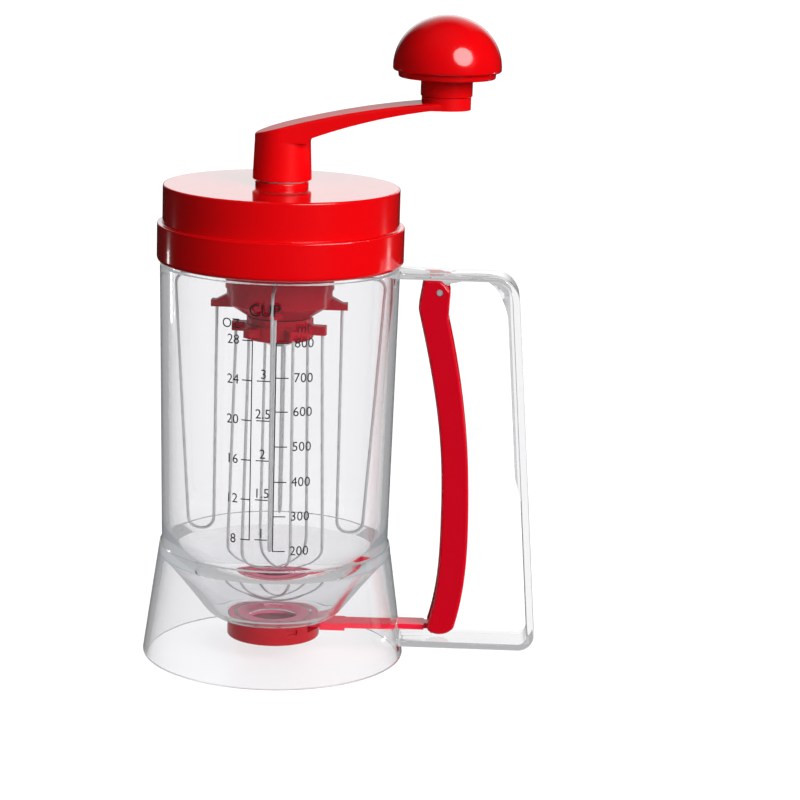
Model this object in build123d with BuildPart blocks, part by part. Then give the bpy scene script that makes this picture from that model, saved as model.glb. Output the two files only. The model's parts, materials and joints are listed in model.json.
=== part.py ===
"""Hand-cranked batter dispenser: a clear measuring jug with a funnel, a flared skirt and a strap
handle, a red lid that carries a crank, a planetary gear train, a fast whisk and four slow beaters
that turn the other way, and a sliding valve under the funnel that the trigger in the handle opens.

Frame: millimetres, +Z up, origin on the jug's axis at the level the skirt stands on, +X towards the
handle. The lid, whisk and beaters all turn about the Z axis.
"""

import os
from math import acos, asin, atan, cos, pi, radians, sin, tan

from build123d import *

# ---- clearances and fits --------------------------------------------------------------------
running = 0.08  # radial clearance of a shaft in its bearing
loose = 0.3  # gap between neighbours that only pass each other
slide_gap = 0.25  # play around the sliding valve
wire_play = 0.05  # radial play of a wire in the hole that holds it
face_gap = 0.05  # play between flat faces that run on each other
edge = 0.4  # small rounding of a moulded edge

# ---- jug ------------------------------------------------------------------------------------
foot_radius = 57.1
skirt_height = 49.6
skirt_step = 0.9  # how far the skirt's top stands proud of the wall above it
skirt_wall = 2.6
foot_round = 0.7
wall = 3.0  # at the foot of the cylinder and through the funnel
wall_foot_radius = 49.2
shoulder_radius = 51.3
shoulder_height = 172.2
mouth_height = shoulder_height + 12.3
neck_radius = 50.1
neck_wall = 2.2
seam_height = 44.0  # where the funnel leaves the skirt
seam_radius = 47.6
step_height = 50.2  # top of the joint between wall and skirt
funnel_bottom = 16.6
funnel_slope = 52.6  # degrees above level
funnel_turn = 12.0  # radius where the funnel's outside turns level
funnel_shoulder_turn = 34.0  # radius where the wall turns into the funnel, inside
funnel_hole_radius = 10.75
funnel_hole_round = 2.2  # the hole's top edge

# ---- handle strap ---------------------------------------------------------------------------
strap_width = 20.0
strap_bar = 2.7  # thickness of the two level bars
strap_grip = 3.2  # thickness of the upright
strap_top = shoulder_height - 0.7
strap_bottom = 6.0
strap_top_reach = 101.9  # outer face of the upright at strap_top
strap_foot_reach = 115.2  # outer face of the upright at strap_bottom
strap_top_corner = 12.0
strap_foot_corner = 7.0
strap_inner_foot_corner = 4.0
strap_edge_round = 0.6
strap_root = 44.0  # the bars start inside the jug's wall line and are trimmed to it
rib_width = 5.0
rib_depth = 5.3  # from the rib's inner edge to the strap's outer face
rib_end_height = 71.5
rib_crown = strap_top - 22.0  # where the straight rib turns into the corner
rib_arch_reach = 83.5
rib_fade = 10.0  # length over which the rib's lower end fades out
arch_lean = 0.2  # a point of the arch, as shares of its rise
arch_drop = 0.37
lug_radius = 4.6

# ---- trigger --------------------------------------------------------------------------------
pivot_x = 68.5
pivot_z = strap_top - 8.3
pin_radius = 1.5
pin_recess = 0.4
lever_width = 16.0
lever_cheek = 2.3
lever_web = 2.3
lever_foot_z = 11.5
lever_edge_round = 1.2
lever_foot_round = 2.5
lever_nape_round = 6.0  # where the head meets the two long sides
lever_rib_wall = 1.6
lever_ribs = 4
lever_head_round = 2.0
lever_brow_round = 3.0
lever_head_rise = 5.2
lever_head_front = -7.0  # the head's top edge, outwards from the pivot
lever_head_back = 0.6
lever_brow = (4.7, 0.6)  # where the head falls away, outwards and up from the pivot
lever_rib_start = 0.3  # share of the way down at which the first rib lies
lever_rib_pitch = 0.15
# the lever's two long sides as (distance outwards from the pivot, share of the way down)
lever_front = [(-8.9, 0.047), (-3.8, 0.19), (0.7, 0.35), (2.9, 0.48), (3.7, 0.69), (1.8, 0.90)]
lever_back = [(4.1, 0.075), (9.2, 0.227), (14.4, 0.475), (15.6, 0.64), (14.6, 0.85)]
lever_front_foot = (-1.2, 0.985)
lever_back_foot = (10.9, 0.98)
lever_foot_shift = 0.4  # the foot's lowest point, outwards of its middle
spring_radius = 2.3
spring_wire = 0.35
spring_turns = 3.125
spring_pitch = 0.71
spring_turned = 66.5  # degrees from the top of the coil back to its start
spring_lower_leg = 9.2
spring_upper_leg = 8.0

# ---- outlet and valve -----------------------------------------------------------------------
collar_radius = 20.1
collar_bottom = 7.9
collar_round = 0.8
outlet_radius = 8.5
outlet_length = 2.4
spigot_radius = 17.3
spigot_wall = 1.3
spigot_depth = 1.2
window_width = 4.6
window_height = 2.2
window_depth = 1.0
window_angle = -62.0
valve_top = 15.0
valve_thickness = 2.35
valve_disc_radius = 12.3
bar_width = 9.8
shoulder_width = 12.0
shoulder_thickness = 3.2
shoulder_reach = 31.5
link_x = 72.1
link_radius = 1.2
link_play = 0.2
eye_width = 6.0
valve_neck = 5.8  # from the end of the wide bar to the link
eye_radius = 2.1
guide_width = 1.4
guide_height = 8.0
gasket_outer = 15.7
gasket_inner = 11.2

# ---- lid ------------------------------------------------------------------------------------
lid_top = shoulder_height + 33.8
drum_radius = 50.45
ring_radius = 52.7
ring_top = lid_top - 16.4
ring_bottom = shoulder_height + 1.2
lid_wall = 2.4
lid_top_round = 0.9
ring_top_round = 0.6
ring_bottom_round = 1.9
lid_inner_round = 1.5
ledge_height = mouth_height + 2.5  # underside that the seal bears on
seal_wall = 1.9
seal_squeeze = 0.1
boss_radius = 4.4
boss_circle = 28.2
plate_radius = 33.0
plate_bottom = lid_top - 26.6
plate_thickness = 2.6
screw_radius = 1.45
screw_head_radius = 2.7
screw_head_height = 1.7
screw_cross = 3.2  # length and width of the cross slot
screw_slot = 0.6
bush_radius = 6.6
collar_ring_radius = 11.45
collar_ring_height = 2.0
collar_ring_bevel = 0.7
bush_bottom = lid_top - 8.4

# ---- crank ----------------------------------------------------------------------------------
shaft_radius = 4.0
shaft_flat = 3.1  # distance from the axis to the driving flat
stud_radius = 2.5
stud_length = 3.6
clip_groove = 3.4
clip_radius = 7.0
clip_height = 1.0
seal_wire = 0.9
seal_height = lid_top - 4.0
drive_top = lid_top + 16.0
drive_width = 5.6
washer_radius = 9.8
washer_height = 0.65
boss_foot_radius = 12.6
boss_top_radius = 11.9
crank_boss_bottom = lid_top + 2.75
crank_boss_top = lid_top + 19.4
arm_start = lid_top + 21.4  # height of the arm's underside where it leaves the boss
arm_back_start = lid_top + 22.2  # height of the arm's back over the boss's far edge
crank_reach = 68.5
arm_bow = 2.4  # how far the arm's back bows above its chord
arm_belly_bow = 1.4
arm_top = lid_top + 38.2  # the arm's top at the knob's axis
arm_belly_end = 62.0
arm_edge_round = 1.4
boss_bevel = 0.5
arm_end_radius = 10.3
arm_end_bottom = arm_top - 3.6
pedestal_top = arm_top + 1.8
pedestal_radius = 10.45

# ---- knob -----------------------------------------------------------------------------------
knob_gap = 0.15
knob_neck_radius = 10.95
knob_neck_top = pedestal_top + 7.8
knob_lip_top = pedestal_top + 12.0
dome_radius = 22.9
dome_centre = pedestal_top + 12.2
dome_height = 21.8
dome_bottom = pedestal_top + 10.5
dome_wall = 2.0
dome_edge_round = 1.2
knob_pin_radius = 3.0
knob_pin_top = pedestal_top + 16.0
knob_pin_head = 4.6
knob_pin_head_height = 1.6
pin_floor = 1.2  # what is left of the arm under the knob's pin

# ---- gears ----------------------------------------------------------------------------------
gear_module = 1.0
sun_teeth = 15
planet_teeth = 12
planets = 3
ring_teeth = sun_teeth + 2 * planet_teeth
pressure_angle = radians(25)
addendum = 0.9
dedendum = 1.2
backlash = 0.25
gear_face = 8.0
gear_bottom = plate_bottom - 10.1
ring_gear_top = plate_bottom - 0.8
planet_pin_radius = 1.5
planet_pin_head = 2.3
planet_pin_head_height = 0.7
planet_circle = gear_module * (sun_teeth + planet_teeth) / 2

# ---- slow beaters and their hub -------------------------------------------------------------
hub_radius = 23.3
bowl_radius = 22.7
hub_seam = gear_bottom - 6.9
hub_floor_top = gear_bottom - 1.3
hub_floor = 3.8
bowl_wall = 2.4
bowl_waist = gear_bottom - 13.3
bowl_foot_radius = 14.2
bowl_bottom = gear_bottom - 18.8
bearing_wall = 3.0
lug_reach = 29.3
lug_width = 5.2
lug_bottom = gear_bottom - 15.7
lug_height = 2.8
lug_seat = 1.9  # depth of the hole that holds a beater's inner leg
gusset_run = 4.6  # the gusset over a lug, from the hub outwards
gusset_rise = 2.4
wire_radius = 0.65
beaters = 4
beater_top = gear_bottom - 2.3
beater_top_reach = 45.5
beater_foot_reach = 37.9
beater_leg_reach = 26.9
beater_foot = 54.6
beater_corner = 4.2
beater_seat = 3.8  # how far the wire's end reaches into the hub
hub_washer_radius = 8.0
hub_washer_height = 0.45

# ---- whisk ----------------------------------------------------------------------------------
whisk_hub_radius = 14.8
whisk_neck_radius = 14.0
whisk_hub_bottom = bowl_bottom - 9.9
whisk_neck_bottom = bowl_bottom - 3.4
whisk_lug_reach = 20.6
whisk_lug_width = 4.6
whisk_lug_bottom = bowl_bottom - 7.7
whisk_lug_height = 4.0
whisk_lug_round = 1.0
whisk_hub_bevel = 0.8
whisk_leg_round = 56.0
whisk_loops = 3
whisk_turn = -8.0  # degrees, how the loops stand to the X axis at rest
whisk_leg_reach = 19.0
whisk_leg_run = 6.0  # straight end below the lug
whisk_foot_reach = 21.6  # where the sides would meet the level of the loop's lowest point
whisk_foot = 25.3  # the lowest loop's lowest point, at the wire's middle
whisk_foot_round = 20.5
whisk_stagger = 2.0  # the loops cross one above another
wire_seat = 3.0  # depth of the hole that a wire's end sits in
nut_radius = 5.2
nut_height = 3.0


def save(piece, name):
    """Label a finished piece and write its STEP file."""
    piece.part.label = name
    export_step(piece.part, f"parts/{name}.step")


def involute(angle):
    """Involute function of a pressure angle."""
    return tan(angle) - angle


def flank(teeth, inner, outer, hand, steps=5):
    """Points (radius, half angle) up one tooth flank; hand is 1 for outside teeth, -1 for inside."""
    pitch = gear_module * teeth / 2
    base = pitch * cos(pressure_angle)
    half = pi / (2 * teeth) - backlash / (2 * pitch)
    points = []
    for step in range(steps):
        r = inner + (outer - inner) * step / (steps - 1)
        slant = involute(acos(min(1.0, base / r)))
        points.append((r, half + hand * (involute(pressure_angle) - slant)))
    return points


def toothed(teeth, side):
    """Corner points of a whole gear from one side of a tooth, mirrored and repeated."""
    points = []
    for tooth in range(teeth):
        middle = 2 * pi * tooth / teeth
        points += [(r * cos(middle - t), r * sin(middle - t)) for r, t in side]
        points += [(r * cos(middle + t), r * sin(middle + t)) for r, t in reversed(side)]
    return points


def outside_gear(teeth):
    """Sketch of a gear with outside teeth, tooth 0 on the X axis."""
    pitch = gear_module * teeth / 2
    root = pitch - dedendum * gear_module
    start = max(root, pitch * cos(pressure_angle))
    side = flank(teeth, start, pitch + addendum * gear_module, 1)
    if root < start:
        side = [(root, side[0][1])] + side
    with BuildSketch() as gear:
        Polygon(*toothed(teeth, side))
    return gear.sketch


def inside_gear_space(teeth):
    """Sketch of the space inside a ring gear, with a tooth pointing inwards on the X axis."""
    pitch = gear_module * teeth / 2
    side = flank(teeth, pitch - addendum * gear_module, pitch + dedendum * gear_module, -1)
    with BuildSketch() as space:
        Polygon(*toothed(teeth, list(reversed(side))))
    return space.sketch


def d_profile(radius, flat):
    """Sketch of a round shaft with one driving flat on its +X side."""
    with BuildSketch() as shaft:
        Circle(radius)
        with Locations((flat + radius, 0)):
            Rectangle(2 * radius, 2 * radius, mode=Mode.SUBTRACT)
    return shaft.sketch


os.makedirs("parts", exist_ok=True)

# ============================ jug: one clear moulding in four pieces ===========================
slope = radians(funnel_slope)
floor_top = funnel_bottom + wall
funnel_corner = seam_radius - (seam_height - funnel_bottom) / tan(slope)
inner_shift = wall / sin(slope)
inner_corner = seam_radius - inner_shift - (seam_height - floor_top) / tan(slope)
inner_foot = wall_foot_radius - wall
neck_inner = neck_radius - neck_wall
inner_draft = (neck_inner - inner_foot) / (mouth_height - step_height)
bend_rise = seam_height + (inner_foot - (seam_radius - inner_shift)) * tan(slope)
bend_radius = inner_foot + inner_draft * (bend_rise - step_height)

with BuildPart() as jug_shell:
    with BuildSketch(Plane.XZ):
        with BuildLine():
            FilletPolyline(
                (funnel_hole_radius, funnel_bottom),
                (funnel_corner, funnel_bottom),
                (seam_radius, seam_height),
                (wall_foot_radius, step_height),
                (shoulder_radius, shoulder_height),
                (neck_radius, shoulder_height),
                (neck_radius, mouth_height),
                (neck_inner, mouth_height),
                (bend_radius, bend_rise),
                (inner_corner, floor_top),
                (funnel_hole_radius, floor_top),
                radius=[0, funnel_turn, 0, 0, edge, edge, edge, edge]
                + [funnel_shoulder_turn, funnel_turn - wall, funnel_hole_round],
                close=True,
            )
        make_face()
    revolve(axis=Axis.Z)
    with BuildSketch(Plane.XY.offset(funnel_bottom)):
        Circle(spigot_radius)
        Circle(spigot_radius - spigot_wall, mode=Mode.SUBTRACT)
    extrude(amount=-spigot_depth)

with BuildPart() as hopper:
    add(jug_shell.part)
    split(bisect_by=Plane.XY.offset(step_height), keep=Keep.TOP)
save(hopper, "hopper")

with BuildPart() as funnel:
    add(jug_shell.part)
    split(bisect_by=Plane.XY.offset(step_height), keep=Keep.BOTTOM)
save(funnel, "funnel")

valve_middle = valve_top - valve_thickness / 2
slot_height = valve_thickness + 3 * slide_gap
skirt_top_radius = wall_foot_radius + skirt_step

with BuildPart() as base_skirt:
    with BuildSketch(Plane.XZ):
        with BuildLine():
            FilletPolyline(
                (seam_radius, seam_height),
                (wall_foot_radius, step_height),
                (skirt_top_radius, skirt_height),
                (foot_radius, 0),
                (foot_radius - skirt_wall, 0),
                radius=[0, 0, edge, foot_round, edge],
                close=True,
            )
        make_face()
    revolve(axis=Axis.Z)
    with BuildSketch(Plane.YZ.offset(seam_radius - skirt_wall)):
        with Locations((0, valve_middle)):
            RectangleRounded(bar_width + 4 * slide_gap, slot_height, edge)
    extrude(amount=foot_radius, mode=Mode.SUBTRACT)
save(base_skirt, "base_skirt")

upright_slant = (strap_foot_reach - strap_top_reach) / (strap_top - strap_bottom)
inner_bar = strap_top - strap_bar
inner_foot_bar = strap_bottom + strap_bar


def upright(height, depth=0.0):
    """X of the upright's outer face at a height, or of a line that lies deeper by depth."""
    return strap_top_reach + (strap_top - height) * upright_slant - depth


arch_rise = inner_bar - rib_crown
bar_middle = inner_bar + strap_bar / 2
under_bar = strap_bottom - strap_bar

with BuildPart() as handle_frame:
    with BuildSketch(Plane.XZ):
        with BuildLine():
            FilletPolyline(
                (strap_root, strap_top),
                (upright(strap_top), strap_top),
                (upright(strap_bottom), strap_bottom),
                (strap_root, strap_bottom),
                (strap_root, inner_foot_bar),
                (upright(inner_foot_bar, strap_grip), inner_foot_bar),
                (upright(inner_bar, strap_grip), inner_bar),
                (strap_root, inner_bar),
                radius=[0, strap_top_corner, strap_foot_corner, 0, 0]
                + [strap_inner_foot_corner, strap_top_corner - strap_grip, 0],
                close=True,
            )
        make_face()
    extrude(amount=strap_width / 2, both=True)
    fillet(handle_frame.faces().filter_by(Axis.Y).edges(), strap_edge_round)
    with BuildSketch(Plane.XZ):
        # corner rib: an arch under the top bar that runs down the upright and fades out
        with BuildLine():
            Spline(
                (rib_arch_reach, inner_bar),
                (upright(rib_crown, rib_depth) - arch_lean * arch_rise, inner_bar - arch_drop * arch_rise),
                (upright(rib_crown, rib_depth), rib_crown),
                tangents=[(1, 0), (upright_slant, -1)],
            )
            FilletPolyline(
                (upright(rib_crown, rib_depth), rib_crown),
                (upright(rib_end_height + rib_fade, rib_depth), rib_end_height + rib_fade),
                (upright(rib_end_height, strap_grip), rib_end_height),
                (upright(rib_end_height, strap_grip / 2), rib_end_height),
                (upright(bar_middle, strap_grip / 2), bar_middle),
                (pivot_x, bar_middle),
                (pivot_x, inner_bar),
                (rib_arch_reach, inner_bar),
                radius=[rib_fade, 0, 0, strap_top_corner - strap_grip / 2, 0, 0],
            )
        make_face()
        # pivot lug under the top bar
        with Locations((pivot_x, pivot_z)):
            Circle(lug_radius)
        Polygon(
            (pivot_x - lug_radius, pivot_z),
            (pivot_x + lug_radius, pivot_z),
            (pivot_x + lug_radius, inner_bar - lug_radius / 2),
            (rib_arch_reach, inner_bar),
            (rib_arch_reach, bar_middle),
            (pivot_x - lug_radius, bar_middle),
        )
    extrude(amount=rib_width / 2, both=True)
    with BuildSketch(Plane.XZ):
        with Locations((pivot_x, pivot_z)):
            Circle(pin_radius)
    extrude(amount=rib_width, both=True, mode=Mode.SUBTRACT)
    with BuildSketch(Plane.XZ):
        Polygon(
            (0, under_bar),
            (foot_radius - under_bar * (foot_radius - skirt_top_radius) / skirt_height, under_bar),
            (skirt_top_radius, skirt_height),
            (wall_foot_radius, step_height),
            (shoulder_radius, shoulder_height),
            (0, shoulder_height),
        )
    revolve(axis=Axis.Z, mode=Mode.SUBTRACT)
save(handle_frame, "handle_frame")

# ============================ outlet collar and valve =========================================
valve_bottom = valve_top - valve_thickness
channel_low = valve_bottom - slide_gap
seat_height = funnel_bottom - spigot_depth
channel_half = valve_disc_radius + slide_gap


def side_plane(radius, angle, height):
    """Plane that touches a cylinder about the Z axis, facing outwards, X to the right."""
    outward = (cos(radians(angle)), sin(radians(angle)), 0)
    origin = (radius * outward[0], radius * outward[1], height)
    return Plane(origin=origin, x_dir=(-outward[1], outward[0], 0), z_dir=outward)


def radial_plane(angle):
    """Upright plane through the Z axis: its X runs outwards at the angle, its Y runs up."""
    outward = (cos(radians(angle)), sin(radians(angle)), 0)
    return Plane(origin=(0, 0, 0), x_dir=outward, z_dir=(outward[1], -outward[0], 0))


with BuildPart() as outlet_collar:
    with BuildSketch(Plane.XZ):
        with BuildLine():
            FilletPolyline(
                (outlet_radius, collar_bottom),
                (collar_radius, collar_bottom),
                (collar_radius, funnel_bottom),
                (spigot_radius + running, funnel_bottom),
                (spigot_radius + running, seat_height - running),
                (funnel_hole_radius, seat_height - running),
                (funnel_hole_radius, channel_low),
                (outlet_radius, collar_bottom + outlet_length),
                radius=[edge, collar_round, edge, 0, 0, 0, 0, 0],
                close=True,
            )
        make_face()
    revolve(axis=Axis.Z)
    # channel for the valve, open on the handle's side
    with BuildSketch(Plane.XY.offset(channel_low)):
        Circle(channel_half)
        with Locations((collar_radius, 0)):
            Rectangle(2 * collar_radius, 2 * channel_half)
    extrude(amount=seat_height - running - channel_low, mode=Mode.SUBTRACT)
    # bayonet window in the rim
    with BuildSketch(side_plane(collar_radius, window_angle, valve_middle - slide_gap)):
        Rectangle(window_width, window_height)
    extrude(amount=-window_depth, mode=Mode.SUBTRACT)
save(outlet_collar, "outlet_collar")

with BuildPart() as valve_gasket:
    with BuildSketch(Plane.XY.offset(seat_height)):
        Circle(gasket_outer)
        Circle(gasket_inner, mode=Mode.SUBTRACT)
    extrude(amount=funnel_bottom - seat_height)
    with BuildSketch(Plane.XY.offset(valve_top + running)):
        Circle(valve_disc_radius)
        Circle(gasket_inner, mode=Mode.SUBTRACT)
    extrude(amount=seat_height - valve_top - running)
save(valve_gasket, "valve_gasket")

shoulder_start = collar_radius + loose

with BuildPart() as valve_slide:
    with BuildSketch(Plane.XY.offset(valve_bottom)):
        Circle(valve_disc_radius)
        with Locations(((link_x - valve_neck) / 2, 0)):
            Rectangle(link_x - valve_neck, bar_width)
        with Locations((link_x - valve_neck / 2, 0)):
            Rectangle(valve_neck, eye_width)
    extrude(amount=valve_thickness)
    with BuildSketch(Plane.XY.offset(valve_top)):
        with Locations(((shoulder_start + shoulder_reach) / 2, 0)):
            Rectangle(shoulder_reach - shoulder_start, shoulder_width)
    extrude(amount=-shoulder_thickness)
    with BuildSketch(Plane.XZ):
        with Locations((link_x, valve_middle)):
            Circle(eye_radius)
    extrude(amount=eye_width / 2, both=True)
    with BuildSketch(Plane.XZ):
        with Locations((link_x, valve_middle)):
            Circle(link_radius)
    extrude(amount=eye_width, both=True, mode=Mode.SUBTRACT)
save(valve_slide, "valve_slide")

guide_inner = lever_width / 2 - lever_cheek

with BuildPart() as link_pin:
    with BuildSketch(Plane.XZ):
        with Locations((link_x, valve_middle)):
            Circle(link_radius)
    extrude(amount=guide_inner - loose, both=True)
save(link_pin, "link_pin")

# ============================ trigger ==========================================================
lever_length = pivot_z - lever_foot_z


def down_lever(spot, shift=0.0):
    """Point of the lever's outline, moved outwards by shift."""
    return (pivot_x + spot[0] + shift, pivot_z - spot[1] * lever_length)


lever_head_z = pivot_z + lever_head_rise
foot_middle = (lever_front_foot[0] + lever_back_foot[0]) / 2 + lever_foot_shift

with BuildPart() as trigger_lever:
    with BuildSketch(Plane.XZ):
        with BuildLine():
            Spline(*[down_lever(spot) for spot in lever_front + [lever_front_foot]])
            ThreePointArc(
                down_lever(lever_front_foot),
                (pivot_x + foot_middle, lever_foot_z),
                down_lever(lever_back_foot),
            )
            Spline(*[down_lever(spot) for spot in [lever_back_foot] + lever_back[::-1]])
            FilletPolyline(
                down_lever(lever_back[0]),
                (pivot_x + lever_brow[0], pivot_z + lever_brow[1]),
                (pivot_x + lever_head_back, lever_head_z),
                (pivot_x + lever_head_front, lever_head_z),
                down_lever(lever_front[0]),
                radius=[lever_foot_round, lever_brow_round, lever_head_round],
            )
        make_face()
        fillet(vertices().sort_by(Axis.Y)[:2], lever_foot_round)
        for side in (lever_front, lever_back):
            fillet(vertices().sort_by_distance((*down_lever(side[0]), 0))[0], lever_nape_round)
    extrude(amount=lever_width / 2, both=True)
    fillet(trigger_lever.faces().filter_by(Axis.Y).edges(), lever_edge_round)
    # the channel is open towards the grip, at its foot and over the pivot
    with BuildSketch(Plane.XZ):
        with BuildLine():
            Polyline(
                down_lever(lever_front_foot, lever_web),
                (pivot_x + lever_front_foot[0] + lever_web, lever_foot_z - lever_web),
                (pivot_x + 2 * lever_width, lever_foot_z - lever_web),
                (pivot_x + 2 * lever_width, lever_head_z + lever_web),
                (pivot_x + lever_head_front + lever_web, lever_head_z + lever_web),
                (pivot_x + lever_head_front + lever_web, lever_head_z),
                down_lever(lever_front[0], lever_web),
            )
            Spline(*[down_lever(spot, lever_web) for spot in lever_front + [lever_front_foot]])
        make_face()
        # stiffening ribs across the channel, short of its open side
        for rib in range(lever_ribs):
            height = pivot_z - lever_length * (lever_rib_start + lever_rib_pitch * rib)
            with Locations((pivot_x, height)):
                Rectangle(lever_width + lever_web, lever_rib_wall, mode=Mode.SUBTRACT)
    extrude(amount=guide_inner, both=True, mode=Mode.SUBTRACT)
    # opening in the web for the valve's bar
    with BuildSketch(Plane.YZ.offset(pivot_x + lever_head_front)):
        with Locations((0, valve_middle)):
            Rectangle(eye_width + 4 * loose, 2 * (eye_radius + 4 * slide_gap + loose))
    extrude(amount=link_x - pivot_x - lever_head_front, mode=Mode.SUBTRACT)
    # guides that hold the link pin between them and let it run up and down
    with BuildSketch(Plane.XZ):
        with Locations((link_x, lever_foot_z + edge + guide_height / 2)):
            Rectangle(2 * (link_radius + link_play + guide_width), guide_height)
        with Locations((link_x, valve_middle + link_radius + guide_width - guide_height / 2)):
            Rectangle(2 * (link_radius + link_play), guide_height, mode=Mode.SUBTRACT)
    extrude(amount=lever_width / 2 - lever_cheek / 2, both=True)
    with BuildSketch(Plane.XZ):
        with Locations((link_x, valve_middle)):
            Rectangle(lever_width, 2 * guide_height)
    extrude(amount=eye_width / 2 + 2 * loose, both=True, mode=Mode.SUBTRACT)
    with BuildSketch(Plane.XZ):
        with Locations((pivot_x, pivot_z)):
            Circle(pin_radius + running)
    extrude(amount=lever_width, both=True, mode=Mode.SUBTRACT)
save(trigger_lever, "trigger_lever")

with BuildPart() as trigger_pin:
    with BuildSketch(Plane.XZ):
        with Locations((pivot_x, pivot_z)):
            Circle(pin_radius)
    extrude(amount=lever_width / 2 - pin_recess, both=True)
    fillet(trigger_pin.edges().filter_by(GeomType.CIRCLE), edge)
save(trigger_pin, "trigger_pin")

# torsion spring beside the lug: its coil runs round the pin, one leg bears on the lever's web and
# the other on the bar above
coil_start = rib_width / 2 + spring_wire + 3 * face_gap
coil = Helix(
    spring_pitch,
    spring_pitch * spring_turns,
    spring_radius,
    center=(pivot_x, coil_start, pivot_z),
    direction=(0, 1, 0),
).rotate(Axis((pivot_x, 0, pivot_z), (0, 1, 0)), -spring_turned)

with BuildPart() as trigger_spring:
    with BuildSketch(Plane(origin=coil @ 0, z_dir=coil % 0)):
        Circle(spring_wire)
    sweep(path=coil)
    for end, length in ((0, -spring_lower_leg), (1, spring_upper_leg)):
        with BuildSketch(Plane(origin=coil @ end, z_dir=coil % end)):
            Circle(spring_wire)
        extrude(amount=length)
save(trigger_spring, "trigger_spring")

# ============================ lid ==============================================================
ring_inner = neck_radius + loose
drum_inner = drum_radius - lid_wall
plate_top = plate_bottom + plate_thickness
lid_ceiling = lid_top - lid_wall

with BuildPart() as lid_cap:
    with BuildSketch(Plane.XZ):
        with BuildLine():
            FilletPolyline(
                (bush_radius, lid_top),
                (drum_radius, lid_top),
                (drum_radius, ring_top),
                (ring_radius, ring_top),
                (ring_radius, ring_bottom),
                (ring_inner, ring_bottom),
                (ring_inner, ledge_height),
                (drum_inner, ledge_height),
                (drum_inner, lid_ceiling),
                (bush_radius, lid_ceiling),
                radius=[0, lid_top_round, edge, ring_top_round, ring_bottom_round]
                + [0, 0, edge, lid_inner_round, 0],
                close=True,
            )
        make_face()
    revolve(axis=Axis.Z)
    with BuildSketch(Plane.XY.offset(plate_top)):
        with PolarLocations(boss_circle, planets, start_angle=180 / planets):
            Circle(boss_radius)
            Circle(screw_radius, mode=Mode.SUBTRACT)
    extrude(amount=lid_ceiling - plate_top)
save(lid_cap, "lid_cap")

with BuildPart() as lid_seal:
    with BuildSketch(Plane.XY.offset(mouth_height)):
        Circle(neck_radius - seal_squeeze)
        Circle(neck_radius - seal_squeeze - seal_wall, mode=Mode.SUBTRACT)
    extrude(amount=ledge_height - mouth_height)
save(lid_seal, "lid_seal")

with BuildPart() as gear_plate:
    with BuildSketch(Plane.XY.offset(plate_bottom)):
        Circle(plate_radius)
        Circle(shaft_radius + loose, mode=Mode.SUBTRACT)
        with PolarLocations(boss_circle, planets, start_angle=180 / planets):
            Circle(screw_radius + running, mode=Mode.SUBTRACT)
        with PolarLocations(planet_circle, planets):
            Circle(planet_pin_radius, mode=Mode.SUBTRACT)
    extrude(amount=plate_thickness)
save(gear_plate, "gear_plate")

with BuildPart() as plate_screws:
    with BuildSketch(Plane.XY.offset(plate_bottom)):
        with PolarLocations(boss_circle, planets, start_angle=180 / planets):
            Circle(screw_head_radius)
    extrude(amount=-screw_head_height)
    with BuildSketch(Plane.XY.offset(plate_bottom)):
        with PolarLocations(boss_circle, planets, start_angle=180 / planets):
            Circle(screw_radius)
    extrude(amount=(lid_ceiling - plate_bottom) / 2)
    with BuildSketch(Plane.XY.offset(plate_bottom - screw_head_height)):
        with PolarLocations(boss_circle, planets, start_angle=180 / planets):
            Rectangle(screw_cross, screw_slot)
            Rectangle(screw_slot, screw_cross)
    extrude(amount=screw_head_height / 2, mode=Mode.SUBTRACT)
save(plate_screws, "plate_screws")

pin_head_bottom = gear_bottom - 4 * face_gap - planet_pin_head_height

with BuildPart() as planet_pins:
    with BuildSketch(Plane.XY.offset(pin_head_bottom)):
        with PolarLocations(planet_circle, planets):
            Circle(planet_pin_head)
    extrude(amount=planet_pin_head_height)
    with BuildSketch(Plane.XY.offset(pin_head_bottom)):
        with PolarLocations(planet_circle, planets):
            Circle(planet_pin_radius)
    extrude(amount=plate_top - pin_head_bottom)
save(planet_pins, "planet_pins")

with BuildPart() as crank_bush:
    with BuildSketch(Plane.XZ):
        with BuildLine():
            FilletPolyline(
                (shaft_radius + running, bush_bottom),
                (bush_radius, bush_bottom),
                (bush_radius, lid_top),
                (collar_ring_radius, lid_top),
                (collar_ring_radius, lid_top + collar_ring_height),
                (shaft_radius + running, lid_top + collar_ring_height),
                radius=[0, edge, 0, 0, collar_ring_bevel, edge],
                close=True,
            )
        make_face()
        with Locations((shaft_radius, seal_height)):
            Rectangle(2 * (2 * seal_wire + running), 2 * seal_wire + running, mode=Mode.SUBTRACT)
    revolve(axis=Axis.Z)
save(crank_bush, "crank_bush")

with BuildPart() as shaft_seal:
    with BuildSketch(Plane.XZ):
        with Locations((shaft_radius + seal_wire + running / 2, seal_height)):
            Circle(seal_wire)
    revolve(axis=Axis.Z)
save(shaft_seal, "shaft_seal")

with BuildPart() as thrust_washer:
    with BuildSketch(Plane.XY.offset(lid_top + collar_ring_height)):
        Circle(washer_radius)
        Circle(shaft_radius + loose, mode=Mode.SUBTRACT)
    extrude(amount=washer_height)
save(thrust_washer, "thrust_washer")

# ============================ crank and whisk ==================================================
pin_bottom = arm_end_bottom + pin_floor
arm_taper = asin((boss_top_radius - arm_end_radius) / crank_reach)
arm_chord = atan((arm_top - arm_back_start) / (crank_reach + boss_top_radius))
belly_chord = atan((arm_end_bottom - arm_start) / (arm_belly_end - boss_top_radius))

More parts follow.
